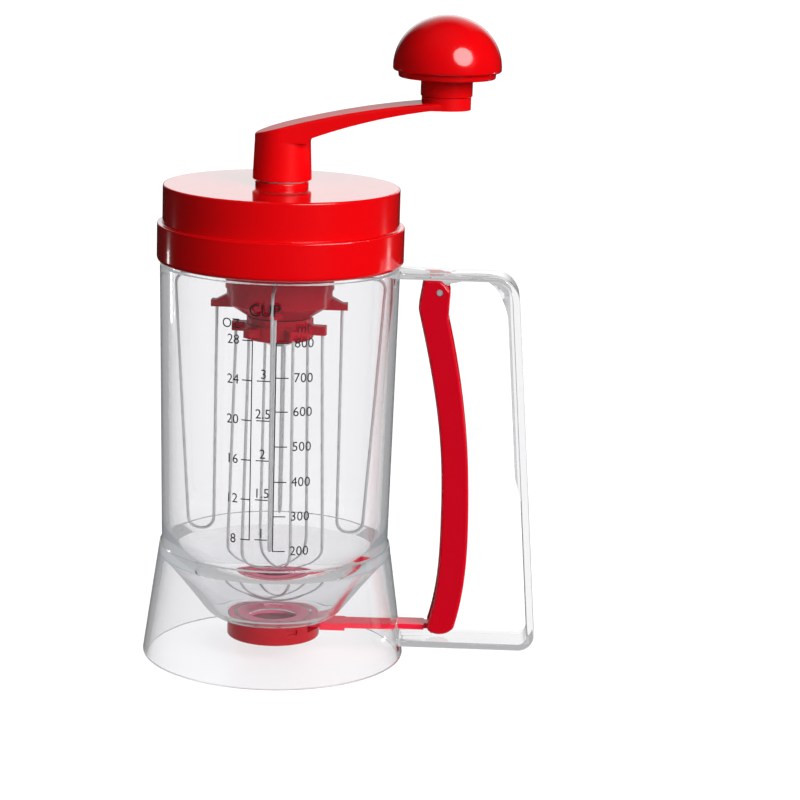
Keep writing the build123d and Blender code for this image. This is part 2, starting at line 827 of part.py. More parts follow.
with BuildPart() as crank_arm:
    with BuildSketch(Plane.XZ):
        with BuildLine():
            ThreePointArc(
                (-boss_top_radius, arm_back_start),
                (
                    (crank_reach - boss_top_radius) / 2 - arm_bow * sin(arm_chord),
                    (arm_back_start + arm_top) / 2 + arm_bow * cos(arm_chord),
                ),
                (crank_reach, arm_top),
            )
            Polyline(
                (crank_reach, arm_top),
                (crank_reach + 2 * arm_end_radius, arm_top),
                (crank_reach + 2 * arm_end_radius, arm_end_bottom),
                (arm_belly_end, arm_end_bottom),
            )
            ThreePointArc(
                (arm_belly_end, arm_end_bottom),
                (
                    (arm_belly_end + boss_top_radius) / 2 - arm_belly_bow * sin(belly_chord),
                    (arm_start + arm_end_bottom) / 2 + arm_belly_bow * cos(belly_chord),
                ),
                (boss_top_radius, arm_start),
            )
            Polyline(
                (boss_top_radius, arm_start),
                (boss_top_radius, crank_boss_top),
                (-boss_top_radius, crank_boss_top),
                (-boss_top_radius, arm_back_start),
            )
        make_face()
    extrude(amount=boss_foot_radius, both=True)
    with BuildSketch(Plane.XY.offset(crank_boss_top)):
        Circle(boss_top_radius)
        with Locations((crank_reach, 0)):
            Circle(arm_end_radius)
        Polygon(
            (boss_top_radius * sin(arm_taper), boss_top_radius * cos(arm_taper)),
            (boss_top_radius * sin(arm_taper), -boss_top_radius * cos(arm_taper)),
            (crank_reach + arm_end_radius * sin(arm_taper), -arm_end_radius * cos(arm_taper)),
            (crank_reach + arm_end_radius * sin(arm_taper), arm_end_radius * cos(arm_taper)),
            align=None,
        )
    extrude(amount=pedestal_top, mode=Mode.INTERSECT)
    with BuildSketch(Plane.XZ):
        with BuildLine():
            FilletPolyline(
                (0, crank_boss_bottom),
                (boss_foot_radius, crank_boss_bottom),
                (boss_top_radius, crank_boss_top),
                (0, crank_boss_top),
                radius=[0, boss_bevel, 0, 0],
                close=True,
            )
        make_face()
    revolve(axis=Axis.Z)
    with BuildSketch(Plane.XY.offset(arm_end_bottom)):
        with Locations((crank_reach, 0)):
            Circle(pedestal_radius)
    extrude(amount=pedestal_top - arm_end_bottom)
    arm_back = crank_arm.faces().filter_by(GeomType.CYLINDER).filter_by(lambda side: side.normal_at().Z > 0.5)
    fillet(arm_back.edges().sort_by(Axis.X)[:-1], arm_edge_round)
    # socket of the square drive, and the knob pin's hole
    with BuildSketch(Plane.XY.offset(crank_boss_bottom)):
        Rectangle(drive_width, drive_width)
    extrude(amount=drive_top - crank_boss_bottom, mode=Mode.SUBTRACT)
    with BuildSketch(Plane.XY.offset(pedestal_top)):
        with Locations((crank_reach, 0)):
            Circle(knob_pin_radius)
    extrude(amount=pin_bottom - pedestal_top, mode=Mode.SUBTRACT)
save(crank_arm, "crank_arm")

hub_washer_bottom = bowl_bottom - hub_washer_height - face_gap
whisk_hub_top = hub_washer_bottom - face_gap
clip_top = bush_bottom - loose

with BuildPart() as drive_shaft:
    with BuildSketch(Plane.XY.offset(whisk_hub_bottom)):
        Circle(shaft_radius)
    extrude(amount=crank_boss_bottom - whisk_hub_bottom)
    with BuildSketch(Plane.XY.offset(crank_boss_bottom)):
        Rectangle(drive_width, drive_width)
    extrude(amount=drive_top - crank_boss_bottom)
    with BuildSketch(Plane.XY.offset(whisk_hub_bottom)):
        Circle(stud_radius)
    extrude(amount=-stud_length)
    for low, high in ((whisk_hub_bottom, whisk_hub_top), (gear_bottom, gear_bottom + gear_face)):
        with BuildSketch(Plane.XY.offset(low)):
            with Locations((shaft_flat + shaft_radius, 0)):
                Rectangle(2 * shaft_radius, 2 * shaft_radius)
        extrude(amount=high - low, mode=Mode.SUBTRACT)
    with BuildSketch(Plane.XY.offset(clip_top - clip_height)):
        Circle(shaft_radius)
        Circle(clip_groove, mode=Mode.SUBTRACT)
    extrude(amount=clip_height, mode=Mode.SUBTRACT)
save(drive_shaft, "drive_shaft")

with BuildPart() as shaft_clip:
    with BuildSketch(Plane.XY.offset(clip_top - clip_height)):
        Circle(clip_radius)
        Circle(clip_groove, mode=Mode.SUBTRACT)
        with Locations((0, -clip_radius)):
            Rectangle(clip_groove, 2 * clip_radius, mode=Mode.SUBTRACT)
    extrude(amount=clip_height)
save(shaft_clip, "shaft_clip")

with BuildPart() as sun_gear:
    with BuildSketch(Plane.XY.offset(gear_bottom)):
        add(outside_gear(sun_teeth))
        add(d_profile(shaft_radius + running / 2, shaft_flat + running / 2), mode=Mode.SUBTRACT)
    extrude(amount=gear_face)
save(sun_gear, "sun_gear")

lug_pitch = 180 / whisk_loops

with BuildPart() as whisk_hub:
    with BuildSketch(Plane.XY.offset(whisk_hub_bottom)):
        Circle(whisk_hub_radius)
    extrude(amount=whisk_neck_bottom - whisk_hub_bottom)
    chamfer(whisk_hub.edges().group_by(Axis.Z)[0], whisk_hub_bevel)
    with BuildSketch(Plane.XY.offset(whisk_neck_bottom)):
        Circle(whisk_neck_radius)
    extrude(amount=whisk_hub_top - whisk_neck_bottom)
    for lug in range(2 * whisk_loops):
        with BuildSketch(Plane.XY.offset(whisk_lug_bottom)):
            with PolarLocations(0, 1, start_angle=whisk_turn + lug * lug_pitch):
                with Locations((whisk_lug_reach / 2, 0)):
                    RectangleRounded(whisk_lug_reach, whisk_lug_width, whisk_lug_round)
        extrude(amount=whisk_lug_height)
    with BuildSketch(Plane.XY.offset(whisk_lug_bottom)):
        with PolarLocations(whisk_leg_reach, 2 * whisk_loops, start_angle=whisk_turn):
            Circle(wire_radius + wire_play)
    extrude(amount=wire_seat, mode=Mode.SUBTRACT)
    with BuildSketch(Plane.XY.offset(whisk_hub_bottom)):
        add(d_profile(shaft_radius + running / 2, shaft_flat + running / 2))
    extrude(amount=whisk_hub_top - whisk_hub_bottom, mode=Mode.SUBTRACT)
save(whisk_hub, "whisk_hub")

with BuildPart() as whisk_nut:
    with BuildSketch(Plane.XY.offset(whisk_hub_bottom)):
        RegularPolygon(nut_radius, 6)
        Circle(stud_radius + running / 2, mode=Mode.SUBTRACT)
    extrude(amount=-nut_height)
save(whisk_nut, "whisk_nut")

leg_top = whisk_lug_bottom + wire_seat - wire_play
leg_bottom = whisk_lug_bottom - whisk_leg_run

for loop in range(whisk_loops):
    plane = radial_plane(whisk_turn + loop * lug_pitch)
    with BuildPart() as whisk_wire:
        with BuildLine(plane) as bend:
            FilletPolyline(
                (whisk_leg_reach, leg_top),
                (whisk_leg_reach, leg_bottom),
                (whisk_foot_reach, whisk_foot + loop * whisk_stagger),
                (-whisk_foot_reach, whisk_foot + loop * whisk_stagger),
                (-whisk_leg_reach, leg_bottom),
                (-whisk_leg_reach, leg_top),
                radius=[whisk_leg_round, whisk_foot_round, whisk_foot_round, whisk_leg_round],
            )
        with BuildSketch(Plane(origin=bend.line @ 0, z_dir=bend.line % 0)):
            Circle(wire_radius)
        sweep()
    save(whisk_wire, f"whisk_wire_{loop + 1}")

# ============================ knob =============================================================
knob_bottom = pedestal_top + knob_gap
lip_radius = dome_radius - dome_wall - running

with BuildPart() as knob_pin:
    with BuildSketch(Plane.XY.offset(pin_bottom)):
        with Locations((crank_reach, 0)):
            Circle(knob_pin_radius)
    extrude(amount=knob_pin_top - pin_bottom)
    with BuildSketch(Plane.XY.offset(knob_pin_top)):
        with Locations((crank_reach, 0)):
            Circle(knob_pin_head)
    extrude(amount=-knob_pin_head_height)
save(knob_pin, "knob_pin")

bearing_top = knob_pin_top - knob_pin_head_height - 3 * face_gap

with BuildPart() as knob_base:
    with BuildSketch(Plane.XZ):
        with BuildLine():
            FilletPolyline(
                (crank_reach + knob_pin_radius + running, knob_bottom),
                (crank_reach + knob_neck_radius, knob_bottom),
                (crank_reach + knob_neck_radius, knob_neck_top),
                (crank_reach + lip_radius - edge, knob_neck_top),
                (crank_reach + lip_radius, knob_lip_top),
                (crank_reach + knob_pin_head, knob_lip_top),
                (crank_reach + knob_pin_head, bearing_top),
                (crank_reach + knob_pin_radius + running, bearing_top),
                radius=[0, edge, 2 * edge, 2 * edge, 0, 0, 0, 0],
                close=True,
            )
        make_face()
    revolve(axis=Axis((crank_reach, 0, 0), (0, 0, 1)))
save(knob_base, "knob_base")


def dome_arc(radius, height):
    """Points of a quarter ellipse about the dome's centre, from its rim to its crown."""
    turns = [radians(90 * step / 6) for step in range(7)]
    return [(crank_reach + radius * cos(t), dome_centre + height * sin(t)) for t in turns]


inside_dome = dome_arc(dome_radius - dome_wall, dome_height - dome_wall)
outside_dome = dome_arc(dome_radius, dome_height)

with BuildPart() as knob_dome:
    with BuildSketch(Plane.XZ):
        with BuildLine():
            Spline(*outside_dome, tangents=[(0, 1), (-1, 0)])
            Line(outside_dome[-1], inside_dome[-1])
            Spline(*inside_dome[::-1], tangents=[(1, 0), (0, -1)])
            FilletPolyline(
                inside_dome[0],
                (crank_reach + dome_radius - dome_wall, dome_bottom),
                (crank_reach + dome_radius, dome_bottom),
                outside_dome[0],
                radius=[edge, dome_edge_round],
            )
        make_face()
    revolve(axis=Axis((crank_reach, 0, 0), (0, 0, 1)))
save(knob_dome, "knob_dome")

# ============================ planets ==========================================================
for number in range(planets):
    around = 360 / planets * number
    centre = (planet_circle * cos(radians(around)), planet_circle * sin(radians(around)))
    with BuildPart() as planet:
        with BuildSketch(Plane.XY.offset(gear_bottom)):
            with Locations(Location(centre, around + 180 / planet_teeth)):
                add(outside_gear(planet_teeth))
                Circle(planet_pin_radius + running, mode=Mode.SUBTRACT)
        extrude(amount=gear_face)
    save(planet, f"planet_{number + 1}")

# ============================ slow beaters =====================================================
floor_bottom = hub_floor_top - hub_floor
spigot_outer = hub_radius - bearing_wall
bowl_inner = spigot_outer - spigot_wall
tube_radius = shaft_radius + running + bearing_wall
bowl_inner_foot = bowl_foot_radius - bowl_wall

with BuildPart() as ring_hub:
    with BuildSketch(Plane.XY.offset(hub_seam)):
        Circle(hub_radius)
    extrude(amount=ring_gear_top - hub_seam)
    with BuildSketch(Plane.XY.offset(hub_floor_top)):
        add(inside_gear_space(ring_teeth))
    extrude(amount=ring_gear_top - hub_floor_top, mode=Mode.SUBTRACT)
    with BuildSketch(Plane.XY.offset(hub_seam)):
        Circle(spigot_outer + running)
    extrude(amount=floor_bottom - hub_seam, mode=Mode.SUBTRACT)
    with BuildSketch(Plane.XY.offset(hub_seam)):
        Circle(shaft_radius + loose)
    extrude(amount=ring_gear_top - hub_seam, mode=Mode.SUBTRACT)
    for beater in range(beaters):
        with BuildSketch(side_plane(hub_radius, beater * 360 / beaters, beater_top)):
            Circle(wire_radius + wire_play)
        extrude(amount=-beater_seat - wire_play, mode=Mode.SUBTRACT)
save(ring_hub, "ring_hub")

with BuildPart() as hub_bowl:
    with BuildSketch(Plane.XZ):
        Polygon(
            (shaft_radius + running, bowl_bottom),
            (bowl_foot_radius, bowl_bottom),
            (bowl_radius, bowl_waist),
            (bowl_radius, hub_seam),
            (spigot_outer, hub_seam),
            (spigot_outer, floor_bottom - 2 * face_gap),
            (bowl_inner, floor_bottom - 2 * face_gap),
            (bowl_inner, bowl_waist + bowl_wall / 2),
            (bowl_inner_foot, bowl_bottom + bowl_wall),
            (tube_radius, bowl_bottom + bowl_wall),
            (tube_radius, floor_bottom - 2 * face_gap),
            (shaft_radius + running, floor_bottom - 2 * face_gap),
        )
    revolve(axis=Axis.Z)
    for beater in range(beaters):
        with BuildSketch(Plane.XY.offset(lug_bottom)):
            with PolarLocations(0, 1, start_angle=beater * 360 / beaters):
                with Locations(((lug_reach + bowl_inner) / 2, 0)):
                    Rectangle(lug_reach - bowl_inner, lug_width)
        extrude(amount=lug_height)
        with BuildSketch(radial_plane(beater * 360 / beaters)):
            Polygon(
                (bowl_inner, lug_bottom + lug_height),
                (bowl_radius + gusset_run, lug_bottom + lug_height),
                (bowl_radius, lug_bottom + lug_height + gusset_rise),
                (bowl_inner, lug_bottom + lug_height + gusset_rise),
                align=None,
            )
        extrude(amount=lug_width / 2, both=True)
    with BuildSketch(Plane.XY.offset(lug_bottom)):
        with PolarLocations(beater_leg_reach, beaters):
            Circle(wire_radius + wire_play)
    extrude(amount=lug_seat, mode=Mode.SUBTRACT)
save(hub_bowl, "hub_bowl")

with BuildPart() as hub_washer:
    with BuildSketch(Plane.XY.offset(hub_washer_bottom)):
        Circle(hub_washer_radius)
        Circle(shaft_radius + running, mode=Mode.SUBTRACT)
    extrude(amount=hub_washer_height)
save(hub_washer, "hub_washer")

foot_turn = (beater_foot_reach - beater_leg_reach) / 2 - loose

for beater in range(beaters):
    with BuildPart() as beater_wire:
        with BuildLine(radial_plane(beater * 360 / beaters)) as bend:
            FilletPolyline(
                (hub_radius - beater_seat, beater_top),
                (beater_top_reach, beater_top),
                (beater_foot_reach, beater_foot),
                (beater_leg_reach, beater_foot),
                (beater_leg_reach, lug_bottom + lug_seat - wire_play),
                radius=[beater_corner, foot_turn, foot_turn],
            )
        with BuildSketch(Plane(origin=bend.line @ 0, z_dir=bend.line % 0)):
            Circle(wire_radius)
        sweep()
    save(beater_wire, f"beater_wire_{beater + 1}")
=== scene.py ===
import json
from math import atan2, cos, pi, radians, sin, tan

import bmesh
import bpy
import numpy as np
from mathutils import Matrix


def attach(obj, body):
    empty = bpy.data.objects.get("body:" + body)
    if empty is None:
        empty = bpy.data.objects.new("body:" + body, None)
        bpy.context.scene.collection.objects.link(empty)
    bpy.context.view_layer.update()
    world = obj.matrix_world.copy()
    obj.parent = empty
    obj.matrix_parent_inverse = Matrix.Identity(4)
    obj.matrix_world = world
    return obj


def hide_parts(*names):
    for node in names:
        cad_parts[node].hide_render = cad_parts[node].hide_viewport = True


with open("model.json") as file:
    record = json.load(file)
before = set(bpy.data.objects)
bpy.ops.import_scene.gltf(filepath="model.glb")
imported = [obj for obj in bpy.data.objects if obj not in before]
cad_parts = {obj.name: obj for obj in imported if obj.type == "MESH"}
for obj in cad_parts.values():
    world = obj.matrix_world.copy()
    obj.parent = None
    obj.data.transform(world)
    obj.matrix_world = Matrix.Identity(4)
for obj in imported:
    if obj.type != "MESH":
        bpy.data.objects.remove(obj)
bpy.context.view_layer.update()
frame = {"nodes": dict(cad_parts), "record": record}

MM = 0.001
ARC_STEPS = 8  # sides of an eighth of a turn, where a corner is large
LONGEST_SIDE = 8.0  # of the jug's outline, millimetres
JUG_SEGMENTS = 240
DOME_SEGMENTS = 160
DOME_STEPS = 40
SHARP_JUG, SHARP_PRINT = 28.0, 40.0  # edges that turn more than this stay sharp, degrees

# ---- jug, as moulded: millimetres ------------------------------------------------------------
FOOT_RADIUS = 57.1
SKIRT_HEIGHT = 49.6
SKIRT_TOP_RADIUS = 50.1
SKIRT_WALL = 2.6
FOOT_ROUND = 0.7
WALL = 3.0
WALL_FOOT_RADIUS = 49.2
STEP_HEIGHT = 50.2
SHOULDER_RADIUS = 51.3
SHOULDER_HEIGHT = 172.2
NECK_RADIUS = 50.1
NECK_WALL = 2.2
MOUTH_HEIGHT = 184.5
SEAM_RADIUS = 47.6
SEAM_HEIGHT = 44.0
FUNNEL_SLOPE = radians(52.6)
FUNNEL_BOTTOM = 16.6
FUNNEL_TURN = 12.0
FUNNEL_SHOULDER_TURN = 34.0
FUNNEL_HOLE_RADIUS = 10.75
FUNNEL_HOLE_ROUND = 2.2
CONTACT = 0.03  # how far the funnel's underside bears into the soft gasket and the collar
SPIGOT_RADIUS = 17.3
SPIGOT_WALL = 1.3
SPIGOT_DEPTH = 1.2
EDGE = 0.4
BAR_SLOT = (10.8, 3.1, 13.825)  # width, height, middle
HANDLE_START = 57.5  # distance from the axis past which only the handle reaches
ROOT_REACH = 0.15  # points this near the jug's surface belong to the handle's ends
ROOT_DEPTH = 1.2  # how far those are pushed into the wall
CUTTER_FROM, CUTTER_TO = 45.0, 62.0  # distances from the axis between which the bar's slot is cut

# ---- knob ---------------------------------------------------------------------------------------
CRANK_REACH = 68.5
DOME_RADIUS = 22.9
DOME_CENTRE = 258.2
DOME_HEIGHT = 21.8
DOME_BOTTOM = 256.5
DOME_WALL = 2.0
DOME_EDGE_ROUND = 1.2

# ---- printed scales ----------------------------------------------------------------------------
PRINT_LIFT = 0.03
PRINT_THICKNESS = 0.03
DIGIT_HEIGHT = 3.3
DIGIT_STRETCH = 0.94
CAPITAL = 0.57  # a capital's height as a share of the letter size
LINE_WIDTH = 0.45
ML_MARKS = (("800", 147.9), ("700", 133.2), ("600", 118.8), ("500", 103.9), ("400", 88.7), ("300", 73.8),
            ("200", 58.7))  # figure and height
OZ_MARKS = (("28", 148.5), ("24", 131.7), ("20", 114.7), ("16", 97.7), ("12", 80.7), ("8", 63.2))
CUP_MARKS = (("3", 131.7), ("2.5", 114.8), ("2", 97.7), ("1.5", 80.8), ("1", 63.5))
ML_TICKS, OZ_TICKS, CUP_TICKS = (2.5, 8.5), (-13.5, -8.8), (-6.3, -0.1)  # from and to, degrees from -Y
ML_FIGURES, CUP_FIGURES = 15.5, -3.2
OZ_FIGURES = {1: -17.2, 2: -18.0}  # by the number of figures
CUP_FIGURE_RISE = 2.7
CUP_CAPITAL_HEIGHT = 4.2
ML_SPACING = 1.02
ML_LINE, OZ_LINE = (58.5, 148.1), (63.0, 148.7)  # lower and upper end of the upright lines
ML_WORD, OZ_WORD, CUP_WORD_HEIGHT = (14.8, 154.2), (-19.3, 155.1), 161.1  # angle and height
BAR_COLUMN, BAR_ROW = 1.5, 6.0  # longest steps of a printed bar round and up the wall
LETTER_STEPS = 3

# ---- finishes ----------------------------------------------------------------------------------
PLASTIC_IOR = 1.5
CLEAR_IOR = 1.57
CLEAR_HANDLE_IOR = 1.26
TRAPPED_BOUNCES = 1.5  # light mirrored more often than this inside clear plastic passes straight on
SPENT_BOUNCES = 8.5  # and so does light that has crossed more of its faces than this
ONCE = 0.5  # a depth above this means that it has happened at least once

# ---- floor and room: levels of light -----------------------------------------------------------
FLOOR_SHADE = 0.9
FLOOR_SHADE_DROP = 0.885  # how much darker it is to mirrored light
FLOOR_TO_DIFFUSE = 0.72
FLOOR_GLOW = 1.42
FLOOR_GLOW_SHARE = 0.55
MIRRORED_LOSS = 0.3  # light mirrored inside clear plastic loses this share
ROOM_MIRRORED = 1.15
ROOM_LEAST = 0.01
ROOM_TO_DIFFUSE = 0.13
BEHIND_DEPTH = (0.0, 0.5)  # the bright wall: directions from and to which it fades in, away from -Y
BEHIND_SIDE = (0.2, 0.5)  # and fades out sideways
BEHIND_FOOT = (0.0, 0.12)  # and fades in above level
BEHIND_HEAD = (0.3, 0.85)  # and fades out higher up
REFRACTED_DEPTH = (-0.1, 0.75)  # through clear plastic the room brightens over these directions
REFRACTED_LEVEL = (0.18, 1.0)  # from one level to the other

# ---- lamps: heading from -Y, height above level and spread in degrees, then strength -----------
KEY_LAMP = (45, 24, 42, 3.6)
TOP_LAMP = (-20, 78, 60, 0.4)
WINDOW_LAMP = (37, 29, 40, 2.0)
STRIP_SIDE, STRIP_BACK, STRIP_HEIGHT = 0.61, 0.355, 0.035  # metres
STRIP_AIM = (0, 0, 0.1)
STRIP_SIZE = (0.05, 0.06)
STRIP_POWERS = (("left_strip", -1, 0.05), ("right_strip", 1, 0.12))  # name, side and power

# ---- camera: the lens stands this far from the axis --------------------------------------------
CAMERA_PLACE = (0.0700, -1.1123, 0.3659)
CAMERA_PITCH = 0.2224
CAMERA_HEADING = 0.0154
CAMERA_ROLL = 0.0307
LENS = 118.86
SENSOR_WIDTH = 36.0
CLIP_END = 50.0


def new_piece(name, points, faces, body, slot, sharp=30.0):
    """A mesh object from a table of points in millimetres and a table of faces, its faces turned outwards."""
    mesh = bpy.data.meshes.new(name)
    mesh.from_pydata((np.asarray(points) * MM).tolist(), [], [list(f) for f in faces])
    tidy_mesh(mesh, sharp)
    piece = bpy.data.objects.new(name, mesh)
    bpy.context.scene.collection.objects.link(piece)
    if body:
        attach(piece, body)
    return piece


def tidy_mesh(mesh, sharp=30.0, merge=1e-7):
    """Merge doubles, turn the faces outwards and shade smooth between edges sharper than an angle."""
    work = bmesh.new()
    work.from_mesh(mesh)
    bmesh.ops.remove_doubles(work, verts=work.verts, dist=merge)
    bmesh.ops.dissolve_degenerate(work, edges=work.edges, dist=merge)
    bmesh.ops.recalc_face_normals(work, faces=work.faces)
    work.to_mesh(mesh)
    work.free()
    mesh.shade_smooth()
    mesh.set_sharp_from_angle(angle=radians(sharp))


def rounded(corners):
    """Closed outline with each corner (x, z, r) replaced by an arc of radius r tangent to both of its sides.

    The arc's centre lies on the corner's bisector at r / cos(half turn), its ends r tan(half turn) away."""
    corners = [np.array(c, float) for c in corners]
    outline = []
    for before, here, after in zip(corners[-1:] + corners[:-1], corners, corners[1:] + corners[:1]):
        radius = here[2]
        if radius <= 0:
            outline.append(here[:2])
            continue
        back = (before[:2] - here[:2]) / np.linalg.norm(before[:2] - here[:2])
        on = (after[:2] - here[:2]) / np.linalg.norm(after[:2] - here[:2])
        half_turn = (pi - np.arccos(np.clip(back @ on, -1, 1))) / 2
        count = max(2, int(np.ceil(ARC_STEPS * half_turn / (pi / 4) * min(1.0, 0.4 + radius / 3))))
        middle = (back + on) / np.linalg.norm(back + on)
        centre = here[:2] + middle * radius / cos(half_turn)
        swing = np.linspace(-half_turn, half_turn, count + 1)
        across = (on - back) / np.linalg.norm(on - back)
        arc = centre - radius * (np.outer(np.cos(swing), middle) - np.outer(np.sin(swing), across))
        outline.extend(arc)
    return np.array(outline)


def divided(outline, longest):
    """The closed outline with extra points, so that no side of it is longer than a given length."""
    ends = np.roll(outline, -1, axis=0)
    parts = np.maximum(1, np.ceil(np.linalg.norm(ends - outline, axis=1) / longest).astype(int))
    return np.concatenate([a + (b - a) * np.linspace(0, 1, n, endpoint=False)[:, None]
                           for a, b, n in zip(outline, ends, parts)])


def lathe(name, outline, body, slot, segments, centre=0.0):
    """Surface of revolution: a closed outline (radius, height) carried round an upright axis at x = centre.

    Point (i, j) is (centre + r_i cos t_j, r_i sin t_j, z_i) with t_j in equal steps of a whole turn."""
    turn = np.linspace(0, 2 * pi, segments, endpoint=False)
    r, z = outline[:, 0], outline[:, 1]
    points = np.stack([centre + np.outer(r, np.cos(turn)), np.outer(r, np.sin(turn)),
                       np.repeat(z[:, None], segments, 1)], -1).reshape(-1, 3)
    return new_piece(name, points, ring_faces(len(r), segments, True), body, slot)


def ring_faces(rows, columns, closed_rows):
    """Quads of a grid whose columns close on themselves, and whose rows do so too where asked."""
    row = np.arange(rows if closed_rows else rows - 1)[:, None]
    column = np.arange(columns)[None, :]
    row_on, column_on = (row + 1) % rows, (column + 1) % columns
    return np.stack([row * columns + column, row * columns + column_on,
                     row_on * columns + column_on, row_on * columns + column], -1).reshape(-1, 4)


def combined(target, tool, operation):
    """The target's mesh after an exact Boolean with the tool, which is then removed."""
    change = target.modifiers.new(operation, "BOOLEAN")
    change.operation = operation
    change.solver = "EXACT"
    change.object = tool
    bpy.context.view_layer.update()
    graph = bpy.context.evaluated_depsgraph_get()
    mesh = bpy.data.meshes.new_from_object(target.evaluated_get(graph))
    target.modifiers.remove(change)
    target.data = mesh
    bpy.data.objects.remove(tool)


def even_shading(piece):
    """Shading normals weighted by area, so that a small round doesn't bend the look of the flat beside it."""
    change = piece.modifiers.new("even_shading", "WEIGHTED_NORMAL")
    change.keep_sharp = True
    bpy.context.view_layer.update()
    graph = bpy.context.evaluated_depsgraph_get()
    mesh = bpy.data.meshes.new_from_object(piece.evaluated_get(graph))
    piece.modifiers.remove(change)
    piece.data = mesh


# ============================ clear jug =======================================================
def jug_outline():
    """Half section of the whole jug: funnel, skirt, wall, shoulder and neck, inside and outside."""
    slope = tan(FUNNEL_SLOPE)
    underside = FUNNEL_BOTTOM - CONTACT
    floor_top = FUNNEL_BOTTOM + WALL
    inner_seam = SEAM_RADIUS - WALL / sin(FUNNEL_SLOPE)
    inner_foot = WALL_FOOT_RADIUS - WALL
    neck_inner = NECK_RADIUS - NECK_WALL
    bend_height = SEAM_HEIGHT + (inner_foot - inner_seam) * slope
    draft = (neck_inner - inner_foot) / (MOUTH_HEIGHT - STEP_HEIGHT)
    return divided(rounded([
        (FUNNEL_HOLE_RADIUS, underside, 0),
        (SPIGOT_RADIUS - SPIGOT_WALL, underside, 0),
        (SPIGOT_RADIUS - SPIGOT_WALL, FUNNEL_BOTTOM - SPIGOT_DEPTH, 0),
        (SPIGOT_RADIUS, FUNNEL_BOTTOM - SPIGOT_DEPTH, 0),
        (SPIGOT_RADIUS, underside, 0),
        (SEAM_RADIUS - (SEAM_HEIGHT - underside) / slope, underside, FUNNEL_TURN),
        (SEAM_RADIUS, SEAM_HEIGHT, 0),
        (FOOT_RADIUS - SKIRT_WALL, 0, EDGE),
        (FOOT_RADIUS, 0, FOOT_ROUND),
        (SKIRT_TOP_RADIUS, SKIRT_HEIGHT, EDGE),
        (WALL_FOOT_RADIUS, STEP_HEIGHT, 0),
        (SHOULDER_RADIUS, SHOULDER_HEIGHT, EDGE),
        (NECK_RADIUS, SHOULDER_HEIGHT, EDGE),
        (NECK_RADIUS, MOUTH_HEIGHT, EDGE),
        (neck_inner, MOUTH_HEIGHT, EDGE),
        (inner_foot + draft * (bend_height - STEP_HEIGHT), bend_height, FUNNEL_SHOULDER_TURN),
        (inner_seam - (SEAM_HEIGHT - floor_top) / slope, floor_top, FUNNEL_TURN - WALL),
        (FUNNEL_HOLE_RADIUS, floor_top, FUNNEL_HOLE_ROUND),
    ]), LONGEST_SIDE)


def rooted_handle():
    """Merged copy of the handle whose ends, cut to the jug's wall, reach a little way into it."""
    mesh = frame["nodes"]["handle_frame"].data.copy()
    tidy_mesh(mesh, merge=1e-6)
    places = np.zeros(len(mesh.vertices) * 3)
    mesh.vertices.foreach_get("co", places)
    places = places.reshape(-1, 3) / MM
    reach = np.hypot(places[:, 0], places[:, 1])
    skirt = FOOT_RADIUS - places[:, 2] * (FOOT_RADIUS - SKIRT_TOP_RADIUS) / SKIRT_HEIGHT
    body = WALL_FOOT_RADIUS + (places[:, 2] - STEP_HEIGHT) * (
        (SHOULDER_RADIUS - WALL_FOOT_RADIUS) / (SHOULDER_HEIGHT - STEP_HEIGHT))
    surface = np.where(places[:, 2] < SKIRT_HEIGHT, skirt, body)
    push = np.where(reach < surface + ROOT_REACH, ROOT_DEPTH / reach, 0)
    places[:, :2] *= (1 - push)[:, None]
    mesh.vertices.foreach_set("co", (places * MM).ravel())
    handle = bpy.data.objects.new("rooted_handle", mesh)
    bpy.context.scene.collection.objects.link(handle)
    return handle


def slot_cutter():
    """Prism with rounded corners through the skirt's +X side, where the valve's bar passes."""
    width, height, middle = BAR_SLOT
    section = rounded([(-width / 2, middle - height / 2, EDGE), (width / 2, middle - height / 2, EDGE),
                       (width / 2, middle + height / 2, EDGE), (-width / 2, middle + height / 2, EDGE)])
    reach = np.repeat([CUTTER_FROM, CUTTER_TO], len(section))
    points = np.column_stack([reach, np.tile(section, (2, 1))])
    count = len(section)
    caps = [list(range(count)), list(range(count, 2 * count))]
    return new_piece("slot_cutter", points, list(ring_faces(2, count, False)) + caps, None, None)


jug = lathe("jug", jug_outline(), None, None, segments=JUG_SEGMENTS)
combined(jug, rooted_handle(), "UNION")
combined(jug, slot_cutter(), "DIFFERENCE")
tidy_mesh(jug.data, SHARP_JUG)
even_shading(jug)
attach(jug, "jug")
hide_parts("hopper", "funnel", "base_skirt", "handle_frame")


# ============================ knob ============================================================
def dome_outline():
    """Half section of the knob's dome: one quarter ellipse outside and one inside, R sin t by H cos t."""
    turn = np.linspace(0, pi / 2, DOME_STEPS)
    outside = np.column_stack([DOME_RADIUS * np.sin(turn), DOME_CENTRE + DOME_HEIGHT * np.cos(turn)])
    inner_radius, inner_height = DOME_RADIUS - DOME_WALL, DOME_HEIGHT - DOME_WALL
    inside = np.column_stack([inner_radius * np.sin(turn), DOME_CENTRE + inner_height * np.cos(turn)])
    rim = rounded([(*outside[-1], 0), (DOME_RADIUS, DOME_BOTTOM, DOME_EDGE_ROUND),
                   (inner_radius, DOME_BOTTOM, EDGE), (*inside[-1], 0)])
    return np.concatenate([outside[:-1], rim, inside[-2::-1]])


dome = lathe("dome", dome_outline(), "knob", "red_plastic", segments=DOME_SEGMENTS, centre=CRANK_REACH)
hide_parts("knob_dome")


# ============================ printed scales ===================================================
def wall_radius(height):
    """Outside radius of the jug's wall at a height."""
    share = (height - STEP_HEIGHT) / (SHOULDER_HEIGHT - STEP_HEIGHT)
    return WALL_FOOT_RADIUS + share * (SHOULDER_RADIUS - WALL_FOOT_RADIUS)


